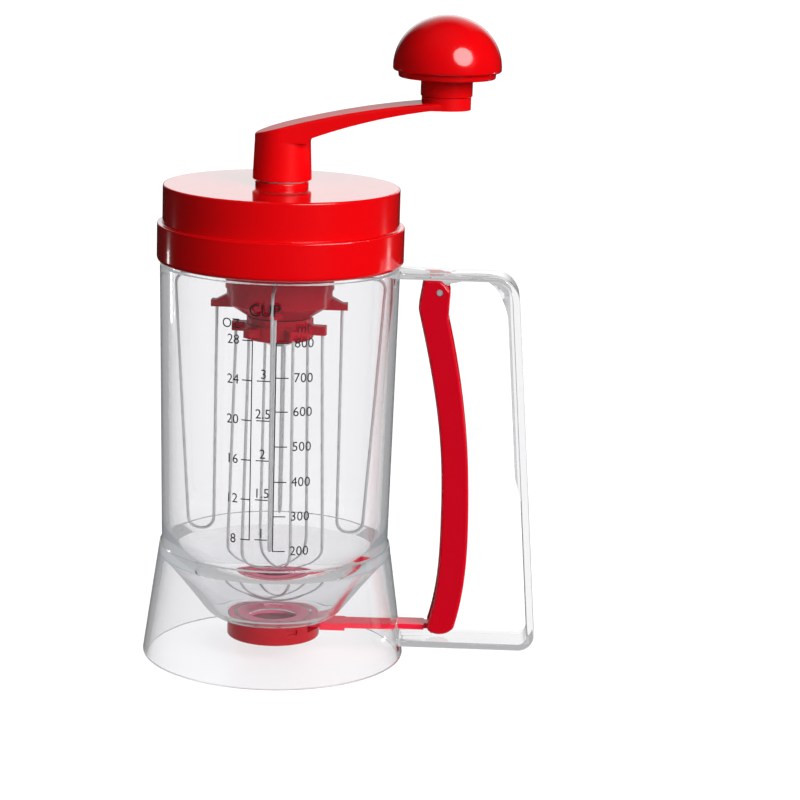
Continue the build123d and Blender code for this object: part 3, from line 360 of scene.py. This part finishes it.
def wrapped(places):
    """Flat places (sideways, up, out) laid on the wall.

    The angle from -Y is the sideways length over the wall's radius at that height."""
    r = wall_radius(places[:, 1])
    angle = places[:, 0] / r
    out = r + PRINT_LIFT + places[:, 2]
    return np.column_stack([out * np.sin(angle), -out * np.cos(angle), places[:, 1]])


def sideways(angle, height):
    """Length along the wall from the -Y line to an angle in degrees at a height."""
    return radians(angle) * wall_radius(height)


def flat_bar(left, right, low, high):
    """Points and faces of a thin printed bar, divided so that it follows the wall."""
    columns = max(2, int(np.ceil((right - left) / BAR_COLUMN)) + 1)
    rows = max(2, int(np.ceil((high - low) / BAR_ROW)) + 1)
    x, y = np.meshgrid(np.linspace(left, right, columns), np.linspace(low, high, rows))
    top = np.column_stack([x.ravel(), y.ravel(), np.full(x.size, PRINT_THICKNESS)])
    bottom = top * [1, 1, 0]
    index = np.arange(x.size).reshape(rows, columns)
    quads = np.stack([index[:-1, :-1], index[:-1, 1:], index[1:, 1:], index[1:, :-1]], -1).reshape(-1, 4)
    rim = np.concatenate([index[0, :-1], index[:-1, -1], index[-1, :0:-1], index[:0:-1, 0]])
    rim_on = np.roll(rim, -1)
    walls = np.column_stack([rim, rim_on, rim_on + x.size, rim + x.size])
    return np.concatenate([top, bottom]), [*quads, *(quads[:, ::-1] + x.size), *walls]


def lettering(words, height, size, spacing):
    """Raised mesh of a few words or figures, size being the height of a capital."""
    curve = bpy.data.curves.new(words, "FONT")
    curve.body = words
    curve.size = size / CAPITAL
    curve.align_x = "CENTER"
    curve.align_y = "CENTER"
    curve.space_character = spacing
    curve.resolution_u = LETTER_STEPS
    curve.extrude = PRINT_THICKNESS / 2
    holder = bpy.data.objects.new(words, curve)
    bpy.context.scene.collection.objects.link(holder)
    bpy.context.view_layer.update()
    mesh = bpy.data.meshes.new_from_object(holder)
    bpy.data.objects.remove(holder)
    places = np.zeros(len(mesh.vertices) * 3)
    mesh.vertices.foreach_get("co", places)
    places = places.reshape(-1, 3)
    places[:, 0] *= DIGIT_STRETCH
    places[:, 1] += height
    places[:, 2] += PRINT_THICKNESS / 2
    faces = [list(f.vertices) for f in mesh.polygons]
    bpy.data.meshes.remove(mesh)
    return places, faces


def scale_print():
    """All figures, ticks and lines of the three scales, one mesh in millimetres."""
    parts = []

    def bar(angle_from, angle_to, height):
        left, right = sideways(angle_from, height), sideways(angle_to, height)
        parts.append(flat_bar(left, right, height - LINE_WIDTH / 2, height + LINE_WIDTH / 2))

    def upright(angle, low, high):
        middle = sideways(angle, (low + high) / 2)
        parts.append(flat_bar(middle - LINE_WIDTH / 2, middle + LINE_WIDTH / 2, low, high))

    def words(text, angle, height, size=DIGIT_HEIGHT, spacing=1.0):
        places, faces = lettering(text, height, size, spacing)
        places[:, 0] += sideways(angle, height)
        parts.append((places, faces))

    for figure, height in ML_MARKS:
        bar(*ML_TICKS, height)
        words(figure, ML_FIGURES, height, spacing=ML_SPACING)
    upright(ML_TICKS[0], *ML_LINE)
    for figure, height in OZ_MARKS:
        bar(*OZ_TICKS, height)
        words(figure, OZ_FIGURES[len(figure)], height)
    upright(OZ_TICKS[1], *OZ_LINE)
    for figure, height in CUP_MARKS:
        bar(*CUP_TICKS, height)
        words(figure, CUP_FIGURES, height + CUP_FIGURE_RISE)
    words("ml", *ML_WORD)
    words("OZ", *OZ_WORD)
    words("CUP", CUP_FIGURES, CUP_WORD_HEIGHT, CUP_CAPITAL_HEIGHT)

    starts = np.cumsum([0] + [len(p) for p, _ in parts])
    points = wrapped(np.concatenate([p for p, _ in parts]))
    faces = [[int(v) + int(start) for v in face] for start, (_, fs) in zip(starts, parts) for face in fs]
    return points, faces


scales = new_piece("scale_print", *scale_print(), "jug", "clear_plastic", sharp=SHARP_PRINT)


# ============================ materials ========================================================
def shader_group(name, inputs, outputs):
    """Empty node group with named inputs (name, type, value) and outputs (name, type)."""
    group = bpy.data.node_groups.new(name, "ShaderNodeTree")
    for label, kind, value in inputs:
        socket = group.interface.new_socket(label, in_out="INPUT", socket_type=kind)
        socket.default_value = value
    for label, kind in outputs:
        group.interface.new_socket(label, in_out="OUTPUT", socket_type=kind)
    return group, group.nodes.new("NodeGroupInput"), group.nodes.new("NodeGroupOutput")


def noise(tree, place, size, detail=2.0, roughness=0.5, distortion=0.0):
    """Noise texture node whose features are about size metres across."""
    node = tree.nodes.new("ShaderNodeTexNoise")
    node.inputs["Scale"].default_value = 1.0 / size
    node.inputs["Detail"].default_value = detail
    node.inputs["Roughness"].default_value = roughness
    node.inputs["Distortion"].default_value = distortion
    tree.links.new(place, node.inputs["Vector"])
    return node.outputs["Fac"]


def math(tree, operation, a, b=0.0, c=0.0):
    """One Math node; a, b and c are sockets or numbers."""
    node = tree.nodes.new("ShaderNodeMath")
    node.operation = operation
    for socket, value in zip(node.inputs, (a, b, c)):
        if isinstance(value, (int, float)):
            socket.default_value = value
        else:
            tree.links.new(value, socket)
    return node.outputs[0]


def ranged(tree, value, low, high):
    """A 0 to 1 value spread from low to high."""
    return math(tree, "MULTIPLY_ADD", value, high - low, low)


def mould_finish_group():
    """Moulded plastic: faint shade drift, flow marks and fine grain."""
    group, given, result = shader_group(
        "mould_finish",
        [("Colour", "NodeSocketColor", (0.8, 0.0, 0.0, 1)), ("Drift", "NodeSocketFloat", 0.04),
         ("Roughness", "NodeSocketFloat", 0.15), ("Grain", "NodeSocketFloat", 0.05)],
        [("Colour", "NodeSocketColor"), ("Roughness", "NodeSocketFloat"), ("Height", "NodeSocketFloat")])
    place = group.nodes.new("ShaderNodeTexCoord").outputs["Object"]
    drift = noise(group, place, 0.03, 3.0)
    grain = noise(group, place, 0.0006, 3.0, 0.6)
    flow = noise(group, place, 0.009, 2.0, 0.5, 0.8)
    shade = math(group, "SUBTRACT", drift, 0.5)
    shade = math(group, "MULTIPLY_ADD", shade, given.outputs["Drift"], 1.0)
    tint = group.nodes.new("ShaderNodeVectorMath")
    tint.operation = "SCALE"
    group.links.new(given.outputs["Colour"], tint.inputs[0])
    group.links.new(shade, tint.inputs["Scale"])
    group.links.new(tint.outputs[0], result.inputs["Colour"])
    rough = math(group, "MULTIPLY_ADD", math(group, "SUBTRACT", flow, 0.5), given.outputs["Grain"],
                 given.outputs["Roughness"])
    rough = math(group, "MULTIPLY_ADD", math(group, "SUBTRACT", grain, 0.5), given.outputs["Grain"], rough)
    group.links.new(rough, result.inputs["Roughness"])
    height = math(group, "MULTIPLY_ADD", grain, 0.15, math(group, "MULTIPLY", flow, 0.85))
    group.links.new(height, result.inputs["Height"])
    return group


MOULD_FINISH = mould_finish_group()


def plastic(name, colour, roughness, drift=0.05, grain=0.06, bump=0.02, coat=0.0, coat_roughness=0.05,
            subsurface=0.0, specular=0.5):
    """Opaque moulded plastic."""
    material = bpy.data.materials.new(name)
    material.use_nodes = True
    tree = material.node_tree
    shader = tree.nodes["Principled BSDF"]
    finish = tree.nodes.new("ShaderNodeGroup")
    finish.node_tree = MOULD_FINISH
    finish.inputs["Colour"].default_value = (*colour, 1)
    finish.inputs["Drift"].default_value = drift
    finish.inputs["Roughness"].default_value = roughness
    finish.inputs["Grain"].default_value = grain
    relief = tree.nodes.new("ShaderNodeBump")
    relief.inputs["Strength"].default_value = bump
    relief.inputs["Distance"].default_value = 0.0005
    tree.links.new(finish.outputs["Height"], relief.inputs["Height"])
    tree.links.new(finish.outputs["Colour"], shader.inputs["Base Color"])
    tree.links.new(finish.outputs["Roughness"], shader.inputs["Roughness"])
    tree.links.new(relief.outputs["Normal"], shader.inputs["Normal"])
    shader.inputs["IOR"].default_value = PLASTIC_IOR
    shader.inputs["Specular IOR Level"].default_value = specular
    shader.inputs["Coat Weight"].default_value = coat
    shader.inputs["Coat Roughness"].default_value = coat_roughness
    shader.inputs["Subsurface Weight"].default_value = subsurface
    shader.inputs["Subsurface Scale"].default_value = 0.002
    return material


def painted_tone(material, other, axis_reach=None, above=None):
    """Painted light and shade on a moulded plastic: a second, paler or darker colour inside a distance in
    metres from the Z axis or above a height.
    """
    tree = material.node_tree
    place = tree.nodes.new("ShaderNodeTexCoord").outputs["Object"]
    axes = tree.nodes.new("ShaderNodeSeparateXYZ")
    tree.links.new(place, axes.inputs[0])
    if above is not None:
        mask = math(tree, "GREATER_THAN", axes.outputs["Z"], above)
    else:
        reach = math(tree, "ADD", math(tree, "POWER", axes.outputs["X"], 2.0),
                     math(tree, "POWER", axes.outputs["Y"], 2.0))
        mask = math(tree, "LESS_THAN", reach, axis_reach ** 2)
    finish = tree.nodes["Group"]
    colour = tree.nodes.new("ShaderNodeMix")
    colour.data_type = "RGBA"
    colour.inputs["A"].default_value = finish.inputs["Colour"].default_value
    colour.inputs["B"].default_value = (*other, 1)
    tree.links.new(mask, colour.inputs["Factor"])
    tree.links.new(colour.outputs["Result"], finish.inputs["Colour"])
    return material


def clear_plastic(name, tint, ior=CLEAR_IOR):
    """Clear moulded plastic: refracts, lets most of the light through to what stands behind it."""
    material = bpy.data.materials.new(name)
    material.use_nodes = True
    tree = material.node_tree
    shader = tree.nodes["Principled BSDF"]
    finish = tree.nodes.new("ShaderNodeGroup")
    finish.node_tree = MOULD_FINISH
    finish.inputs["Colour"].default_value = (*tint, 1)
    finish.inputs["Drift"].default_value = 0.01
    finish.inputs["Roughness"].default_value = 0.02
    finish.inputs["Grain"].default_value = 0.02
    relief = tree.nodes.new("ShaderNodeBump")
    relief.inputs["Strength"].default_value = 0.01
    relief.inputs["Distance"].default_value = 0.0004
    tree.links.new(finish.outputs["Height"], relief.inputs["Height"])
    tree.links.new(finish.outputs["Colour"], shader.inputs["Base Color"])
    tree.links.new(finish.outputs["Roughness"], shader.inputs["Roughness"])
    tree.links.new(relief.outputs["Normal"], shader.inputs["Normal"])
    shader.inputs["IOR"].default_value = ior
    shader.inputs["Transmission Weight"].default_value = 1.0
    through = tree.nodes.new("ShaderNodeBsdfTransparent")
    through.inputs["Color"].default_value = (0.93, 0.94, 0.95, 1)
    path = tree.nodes.new("ShaderNodeLightPath")
    trapped = math(tree, "GREATER_THAN", path.outputs["Glossy Depth"], TRAPPED_BOUNCES)
    spent = math(tree, "GREATER_THAN", path.outputs["Transmission Depth"], SPENT_BOUNCES)
    straight = math(tree, "MAXIMUM", trapped, spent)
    mix = tree.nodes.new("ShaderNodeMixShader")
    tree.links.new(math(tree, "MAXIMUM", straight, path.outputs["Is Shadow Ray"]), mix.inputs[0])
    tree.links.new(shader.outputs[0], mix.inputs[1])
    tree.links.new(through.outputs[0], mix.inputs[2])
    tree.links.new(mix.outputs[0], tree.nodes["Material Output"].inputs["Surface"])
    return material


def steel(name, shade, roughness, streak=(1.0, 1.0, 0.04), metal=1.0):
    """Drawn or turned stainless steel: fine streaks along one direction; a dull end face has less metal."""
    material = bpy.data.materials.new(name)
    material.use_nodes = True
    tree = material.node_tree
    shader = tree.nodes["Principled BSDF"]
    place = tree.nodes.new("ShaderNodeTexCoord").outputs["Object"]
    stretch = tree.nodes.new("ShaderNodeMapping")
    stretch.inputs["Scale"].default_value = streak
    tree.links.new(place, stretch.inputs["Vector"])
    lines = noise(tree, stretch.outputs[0], 0.0003, 3.0, 0.6)
    patches = noise(tree, place, 0.006, 2.0)
    tree.links.new(ranged(tree, lines, roughness - 0.08, roughness + 0.1), shader.inputs["Roughness"])
    colour = tree.nodes.new("ShaderNodeMix")
    colour.data_type = "RGBA"
    colour.inputs["A"].default_value = (shade * 0.86, shade * 0.86, shade * 0.87, 1)
    colour.inputs["B"].default_value = (shade, shade, shade * 1.01, 1)
    tree.links.new(patches, colour.inputs["Factor"])
    tree.links.new(colour.outputs["Result"], shader.inputs["Base Color"])
    shader.inputs["Metallic"].default_value = metal
    relief = tree.nodes.new("ShaderNodeBump")
    relief.inputs["Strength"].default_value = 0.08
    relief.inputs["Distance"].default_value = 0.00005
    tree.links.new(lines, relief.inputs["Height"])
    tree.links.new(relief.outputs["Normal"], shader.inputs["Normal"])
    return material


RED = (0.78, 0.001, 0.003)
PINK_PAINTED_HAZE = (0.86, 0.14, 0.24)  # red with a painted haze of light, for the faces that lie against the clear floor
COLLAR_HAZE_HEIGHT = 16.5  # height above which the collar's top face takes the pink of painted haze
DISC_SHADE_REACH = 12.4  # reach of the painted shade on the valve's disc, under the funnel's hole
red = plastic("red_plastic", RED, 0.14, coat=0.8, coat_roughness=0.03)
# hub: the lid's red darkened, as painted shade for the shade the lid casts over the hub
hub_painted_shade_red = plastic("hub_red_plastic_painted_shade", (0.38, 0.0, 0.012), 0.22, specular=0.1)
# collar: red darkened as painted shade, and its top face pink as a painted haze of light from the clear floor
# above it
collar_painted_shade_and_haze = painted_tone(plastic("collar_red_plastic_painted_shade_and_haze", (0.44, 0.001, 0.008), 0.22), PINK_PAINTED_HAZE,
                      above=COLLAR_HAZE_HEIGHT * MM)
# valve slide: a red lighter than the lid's, as painted light on the bar, and a dark disc round the axis, as
# painted shade under the funnel's hole
slide_painted_light_and_shade = painted_tone(plastic("slide_red_plastic_painted_light_and_shade", (0.9, 0.012, 0.045), 0.25), (0.16, 0.002, 0.02),
                     axis_reach=DISC_SHADE_REACH * MM)
arm_red = plastic("arm_red_plastic", RED, 0.3, bump=0.03, specular=0.2)
# lever: the lid's red darkened, as painted shade
trigger_painted_shade_red = plastic("trigger_red_plastic_painted_shade", (0.62, 0.001, 0.012), 0.16, coat=0.5, coat_roughness=0.04)
# gasket: red silicone paled to pink by painted haze of light
gasket_painted_haze = plastic("red_silicone_painted_haze", PINK_PAINTED_HAZE, 0.4, drift=0.06, grain=0.1)
gear_white = plastic("gear_plastic", (0.84, 0.83, 0.78), 0.42, drift=0.08, subsurface=0.1)
rubber = plastic("silicone", (0.78, 0.78, 0.76), 0.45, drift=0.06, grain=0.12, bump=0.06, subsurface=0.15)
ink = plastic("print_ink", (0.012, 0.012, 0.014), 0.5, drift=0.5, grain=0.2, bump=0.05)
clear = clear_plastic("clear_plastic", (0.93, 0.93, 0.94))
# handle: a greyer tint than the jug's, painted shade for the grey the strap shows
clear_handle_painted_shade = clear_plastic("clear_handle_plastic_painted_shade", (0.8, 0.8, 0.81), CLEAR_HANDLE_IOR)
wire = steel("drawn_steel", 0.72, 0.28, metal=0.7)
turned = steel("turned_steel", 0.6, 0.3, (0.04, 1.0, 1.0))
pin_end = steel("cut_steel", 0.62, 0.4, (1.0, 0.04, 1.0), 0.45)

FINISHES = {"red_plastic": red, "gear_plastic": gear_white, "silicone": rubber, "steel": turned,
            "clear_plastic": clear}


def dress(piece, material):
    """Leave a piece with a single material slot, and this material in it."""
    piece.data.materials.clear()
    piece.data.materials.append(material)


for part in frame["record"]["subparts"]:
    dress(frame["nodes"][part["node"]], FINISHES[part["material_slot"]])
for name, node in frame["nodes"].items():
    if name.startswith(("beater_wire", "whisk_wire")):
        dress(node, wire)
dress(frame["nodes"]["crank_arm"], arm_red)
# the hub pieces take the darkened red of painted shade
for name in ("hub_bowl", "ring_hub", "whisk_hub"):
    dress(frame["nodes"][name], hub_painted_shade_red)
dress(frame["nodes"]["trigger_pin"], pin_end)
dress(frame["nodes"]["valve_slide"], slide_painted_light_and_shade)
dress(frame["nodes"]["trigger_lever"], trigger_painted_shade_red)
dress(frame["nodes"]["outlet_collar"], collar_painted_shade_and_haze)
dress(dome, red)
dress(frame["nodes"]["valve_gasket"], gasket_painted_haze)
dress(jug, clear)
jug.data.materials.append(clear_handle_painted_shade)  # for the faces that lie past the skirt, whose greyer tint is painted shade
middles = np.zeros(len(jug.data.polygons) * 3)
jug.data.polygons.foreach_get("center", middles)
jug.data.polygons.foreach_set("material_index", (middles[::3] > HANDLE_START * MM).astype(int))
dress(scales, ink)


# ============================ floor, light and camera ==========================================
def floor_piece():
    """Plain pale floor: a flat sheet far larger than the view."""
    reach = 6000.0
    points = [(-reach, -reach, 0), (reach, -reach, 0), (reach, reach, 0), (-reach, reach, 0)]
    sheet = new_piece("floor", points, [(0, 1, 2, 3)], None, None)
    return sheet


def floor_material():
    """White to the eye and through the jug, and it still takes the object's shadow."""
    material = bpy.data.materials.new("pale_floor")
    material.use_nodes = True
    tree = material.node_tree
    shader = tree.nodes["Principled BSDF"]
    place = tree.nodes.new("ShaderNodeTexCoord").outputs["Object"]
    speck = noise(tree, place, 0.02, 3.0)
    tree.links.new(ranged(tree, speck, 0.18, 0.24), shader.inputs["Roughness"])
    path = tree.nodes.new("ShaderNodeLightPath")
    mirrored = math(tree, "GREATER_THAN", path.outputs["Glossy Depth"], ONCE)
    within = math(tree, "GREATER_THAN", path.outputs["Transmission Depth"], ONCE)
    scattered = math(tree, "MULTIPLY", path.outputs["Is Diffuse Ray"], FLOOR_TO_DIFFUSE)
    dark = math(tree, "MAXIMUM", mirrored, scattered)
    shade = math(tree, "MULTIPLY_ADD", dark, -FLOOR_SHADE_DROP, FLOOR_SHADE)
    tree.links.new(shade, shader.inputs["Base Color"])
    tree.links.new(math(tree, "MULTIPLY_ADD", dark, -0.5, 0.5), shader.inputs["Specular IOR Level"])
    glow = tree.nodes.new("ShaderNodeEmission")
    glow.inputs["Color"].default_value = (1, 1, 1, 1)
    glow.inputs["Strength"].default_value = FLOOR_GLOW
    open_view = math(tree, "MAXIMUM", path.outputs["Is Camera Ray"], within)
    seen = math(tree, "MULTIPLY", open_view, math(tree, "MULTIPLY_ADD", mirrored, -MIRRORED_LOSS, 1.0))
    mix = tree.nodes.new("ShaderNodeMixShader")
    tree.links.new(math(tree, "MULTIPLY", seen, FLOOR_GLOW_SHARE), mix.inputs[0])
    tree.links.new(shader.outputs[0], mix.inputs[1])
    tree.links.new(glow.outputs[0], mix.inputs[2])
    tree.links.new(mix.outputs[0], tree.nodes["Material Output"].inputs["Surface"])
    return material


dress(floor_piece(), floor_material())


def spread_over(tree, value, start, end, low, high):
    """Level that runs from low to high while a value runs from start to end, and stays there."""
    node = tree.nodes.new("ShaderNodeMapRange")
    for label, number in (("From Min", start), ("From Max", end), ("To Min", low), ("To Max", high)):
        node.inputs[label].default_value = number
    tree.links.new(value, node.inputs["Value"])
    return node.outputs["Result"]


def studio_world():
    """White room: bright low down behind the object, dim in front, overhead and below it."""
    world = bpy.data.worlds.new("studio")
    bpy.context.scene.world = world
    world.use_nodes = True
    tree = world.node_tree
    background = tree.nodes["Background"]
    way = tree.nodes.new("ShaderNodeTexCoord").outputs["Generated"]
    split = tree.nodes.new("ShaderNodeSeparateXYZ")
    tree.links.new(way, split.inputs[0])
    depth, height = split.outputs["Y"], split.outputs["Z"]
    behind = math(tree, "MULTIPLY", spread_over(tree, depth, *BEHIND_DEPTH, 0.0, 1.0),
                  spread_over(tree, math(tree, "ABSOLUTE", split.outputs["X"]), *BEHIND_SIDE, 1.0, 0.0))
    low_down = math(tree, "MULTIPLY", spread_over(tree, height, *BEHIND_FOOT, 0.0, 1.0),
                    spread_over(tree, height, *BEHIND_HEAD, 1.0, 0.0))
    wall_light = math(tree, "MULTIPLY", behind, low_down)
    wall_light = math(tree, "MULTIPLY_ADD", wall_light, ROOM_MIRRORED, ROOM_LEAST)
    refracted = spread_over(tree, depth, *REFRACTED_DEPTH, *REFRACTED_LEVEL)
    path = tree.nodes.new("ShaderNodeLightPath")
    within = math(tree, "GREATER_THAN", path.outputs["Transmission Depth"], ONCE)
    mirrored = math(tree, "GREATER_THAN", path.outputs["Glossy Depth"], ONCE)
    clear_view = math(tree, "MULTIPLY", within, math(tree, "MULTIPLY_ADD", mirrored, -MIRRORED_LOSS, 1.0))
    level = math(tree, "MULTIPLY", clear_view, refracted)
    direct = math(tree, "MULTIPLY", mirrored, math(tree, "SUBTRACT", 1.0, within))
    level = math(tree, "MAXIMUM", level, math(tree, "MULTIPLY", direct, wall_light))
    scattered = math(tree, "MULTIPLY", path.outputs["Is Diffuse Ray"], ROOM_TO_DIFFUSE)
    level = math(tree, "MAXIMUM", level, scattered)
    level = math(tree, "MAXIMUM", level, path.outputs["Is Camera Ray"])
    background.inputs["Color"].default_value = (1, 1, 1, 1)
    tree.links.new(level, background.inputs["Strength"])


studio_world()


def soft_sun(name, heading, height, spread, strength):
    """Large soft lamp a long way off.

    All three angles are in degrees: heading from -Y towards +X, height above level, and spread."""
    lamp = bpy.data.lights.new(name, "SUN")
    lamp.angle = radians(spread)
    lamp.energy = strength
    holder = bpy.data.objects.new(name, lamp)
    holder.rotation_euler = (pi / 2 - radians(height), 0, radians(heading))
    bpy.context.scene.collection.objects.link(holder)
    return holder


def strip_lamp(name, place, aim, size, power):
    """Upright strip lamp at a place in metres, turned so that it faces a point."""
    lamp = bpy.data.lights.new(name, "AREA")
    lamp.shape = "RECTANGLE"
    lamp.size, lamp.size_y = size
    lamp.energy = power
    holder = bpy.data.objects.new(name, lamp)
    holder.location = place
    way = np.array(place) - np.array(aim)
    holder.rotation_euler = (atan2(np.hypot(way[0], way[1]), way[2]), 0, atan2(way[1], way[0]) + pi / 2)
    bpy.context.scene.collection.objects.link(holder)
    return holder


for lamp in (soft_sun("key", *KEY_LAMP), soft_sun("top", *TOP_LAMP)):
    lamp.visible_glossy = lamp.visible_transmission = False
window = soft_sun("window", *WINDOW_LAMP)
window.visible_diffuse = window.visible_transmission = False
for name, side, power in STRIP_POWERS:
    strip = strip_lamp(name, (side * STRIP_SIDE, STRIP_BACK, STRIP_HEIGHT), STRIP_AIM, STRIP_SIZE, power)
    strip.visible_camera = strip.visible_transmission = strip.visible_diffuse = False

camera = bpy.data.objects.new("camera", bpy.data.cameras.new("camera"))
camera.data.lens = LENS
camera.data.sensor_width = SENSOR_WIDTH
camera.data.clip_end = CLIP_END
camera.matrix_world = (Matrix.Translation(CAMERA_PLACE) @ Matrix.Rotation(CAMERA_HEADING, 4, "Z")
                       @ Matrix.Rotation(pi / 2 - CAMERA_PITCH, 4, "X")
                       @ Matrix.Rotation(CAMERA_ROLL, 4, "Z"))
bpy.context.scene.collection.objects.link(camera)
bpy.context.scene.camera = camera
bpy.context.scene.view_settings.view_transform = "Standard"
